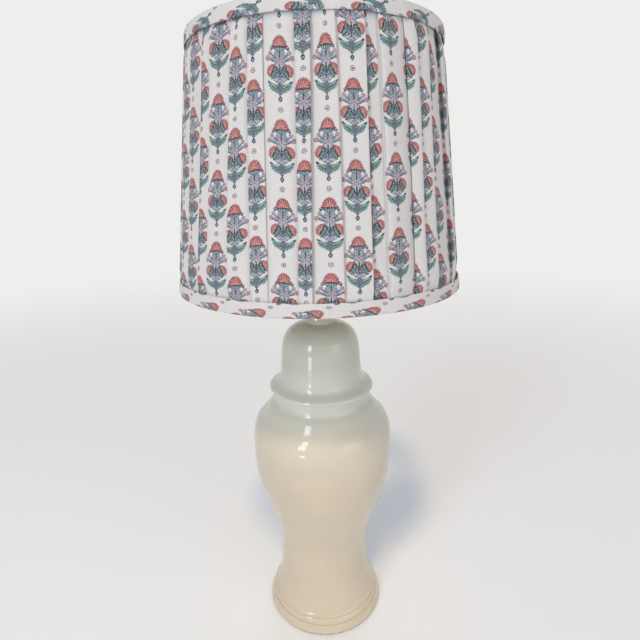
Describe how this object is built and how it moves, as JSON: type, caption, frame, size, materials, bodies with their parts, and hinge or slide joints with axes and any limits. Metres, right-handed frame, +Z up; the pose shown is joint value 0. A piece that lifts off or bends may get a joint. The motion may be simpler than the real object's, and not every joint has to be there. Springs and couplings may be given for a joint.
{
  "type": "table lamp",
  "caption": "Turned jar-shaped table lamp with a domed lid and a gathered printed cloth shade carried on a wire harp.",
  "frame": {"origin": "middle of the foot, on the table", "axes": "+Z up along the lamp's axis, front of the lamp towards -Y, harp in the XZ plane"},
  "size_m": [0.305, 0.305, 0.6964],
  "materials": {
    "glaze": "glossy warm white glaze over stoneware",
    "felt": "pressed wool felt",
    "rubber": "moulded black rubber",
    "steel": "zinc-plated steel",
    "brass": "polished lacquered brass",
    "paper_sleeve": "dark insulating paper",
    "phenolic": "black phenolic moulding",
    "bulb_metal": "drawn aluminium",
    "bulb_glass": "soft white coated glass",
    "frame_paint": "white enamelled wire",
    "styrene": "white translucent sheet",
    "print_cloth": "block-printed cotton, coral, slate and green sprigs on off-white"
  },
  "bodies": {
    "base": {"jar_body": "glaze", "jar_lid": "glaze", "base_felt": "felt", "cord_grommet": "rubber", "base_washer": "steel", "lock_washer": "steel", "base_nut": "steel", "threaded_rod": "steel", "seat_washer": "rubber", "vase_cap": "brass", "neck_tube": "brass", "check_ring": "brass", "harp_saddle": "brass", "socket_cap": "brass", "socket_liner": "paper_sleeve", "socket_core": "phenolic", "screw_shell": "brass", "centre_contact": "brass", "terminal_screws": "brass", "socket_shell": "brass", "harp": "brass", "harp_stud": "brass"},
    "shade": {"spider": "frame_paint", "top_ring": "frame_paint", "bottom_ring": "frame_paint", "shade_liner": "styrene", "shade_cover": "print_cloth", "top_trim": "print_cloth", "bottom_trim": "print_cloth"},
    "finial": {"finial": "brass"},
    "switch": {"switch_shaft": "brass", "switch_knob": "phenolic"},
    "bulb": {"bulb_cap": "bulb_metal", "bulb_contact": "bulb_metal", "bulb_glass": "bulb_glass"},
    "ferrule_left": {"ferrule_left": "brass"},
    "ferrule_right": {"ferrule_right": "brass"}
  },
  "joints": [
    {"name": "shade_turn", "type": "hinge", "parent": "base", "child": "shade", "pos_m": [0, 0, 0.6622], "axis": [0, 0, 1], "continuous": true},
    {"name": "finial_turn", "type": "hinge", "parent": "base", "child": "finial", "pos_m": [0, 0, 0.6634], "axis": [0, 0, 1], "continuous": true},
    {"name": "switch_turn", "type": "hinge", "parent": "base", "child": "switch", "pos_m": [0, -0.024, 0.4604], "axis": [0, -1, 0], "continuous": true},
    {"name": "bulb_turn", "type": "hinge", "parent": "base", "child": "bulb", "pos_m": [0, 0, 0.483], "axis": [0, 0, 1], "continuous": true},
    {"name": "ferrule_left_slide", "type": "slide", "parent": "base", "child": "ferrule_left", "axis": [0, 0, 1], "range_m": [0, 0.013]},
    {"name": "ferrule_right_slide", "type": "slide", "parent": "base", "child": "ferrule_right", "axis": [0, 0, 1], "range_m": [0, 0.013]}
  ]
}
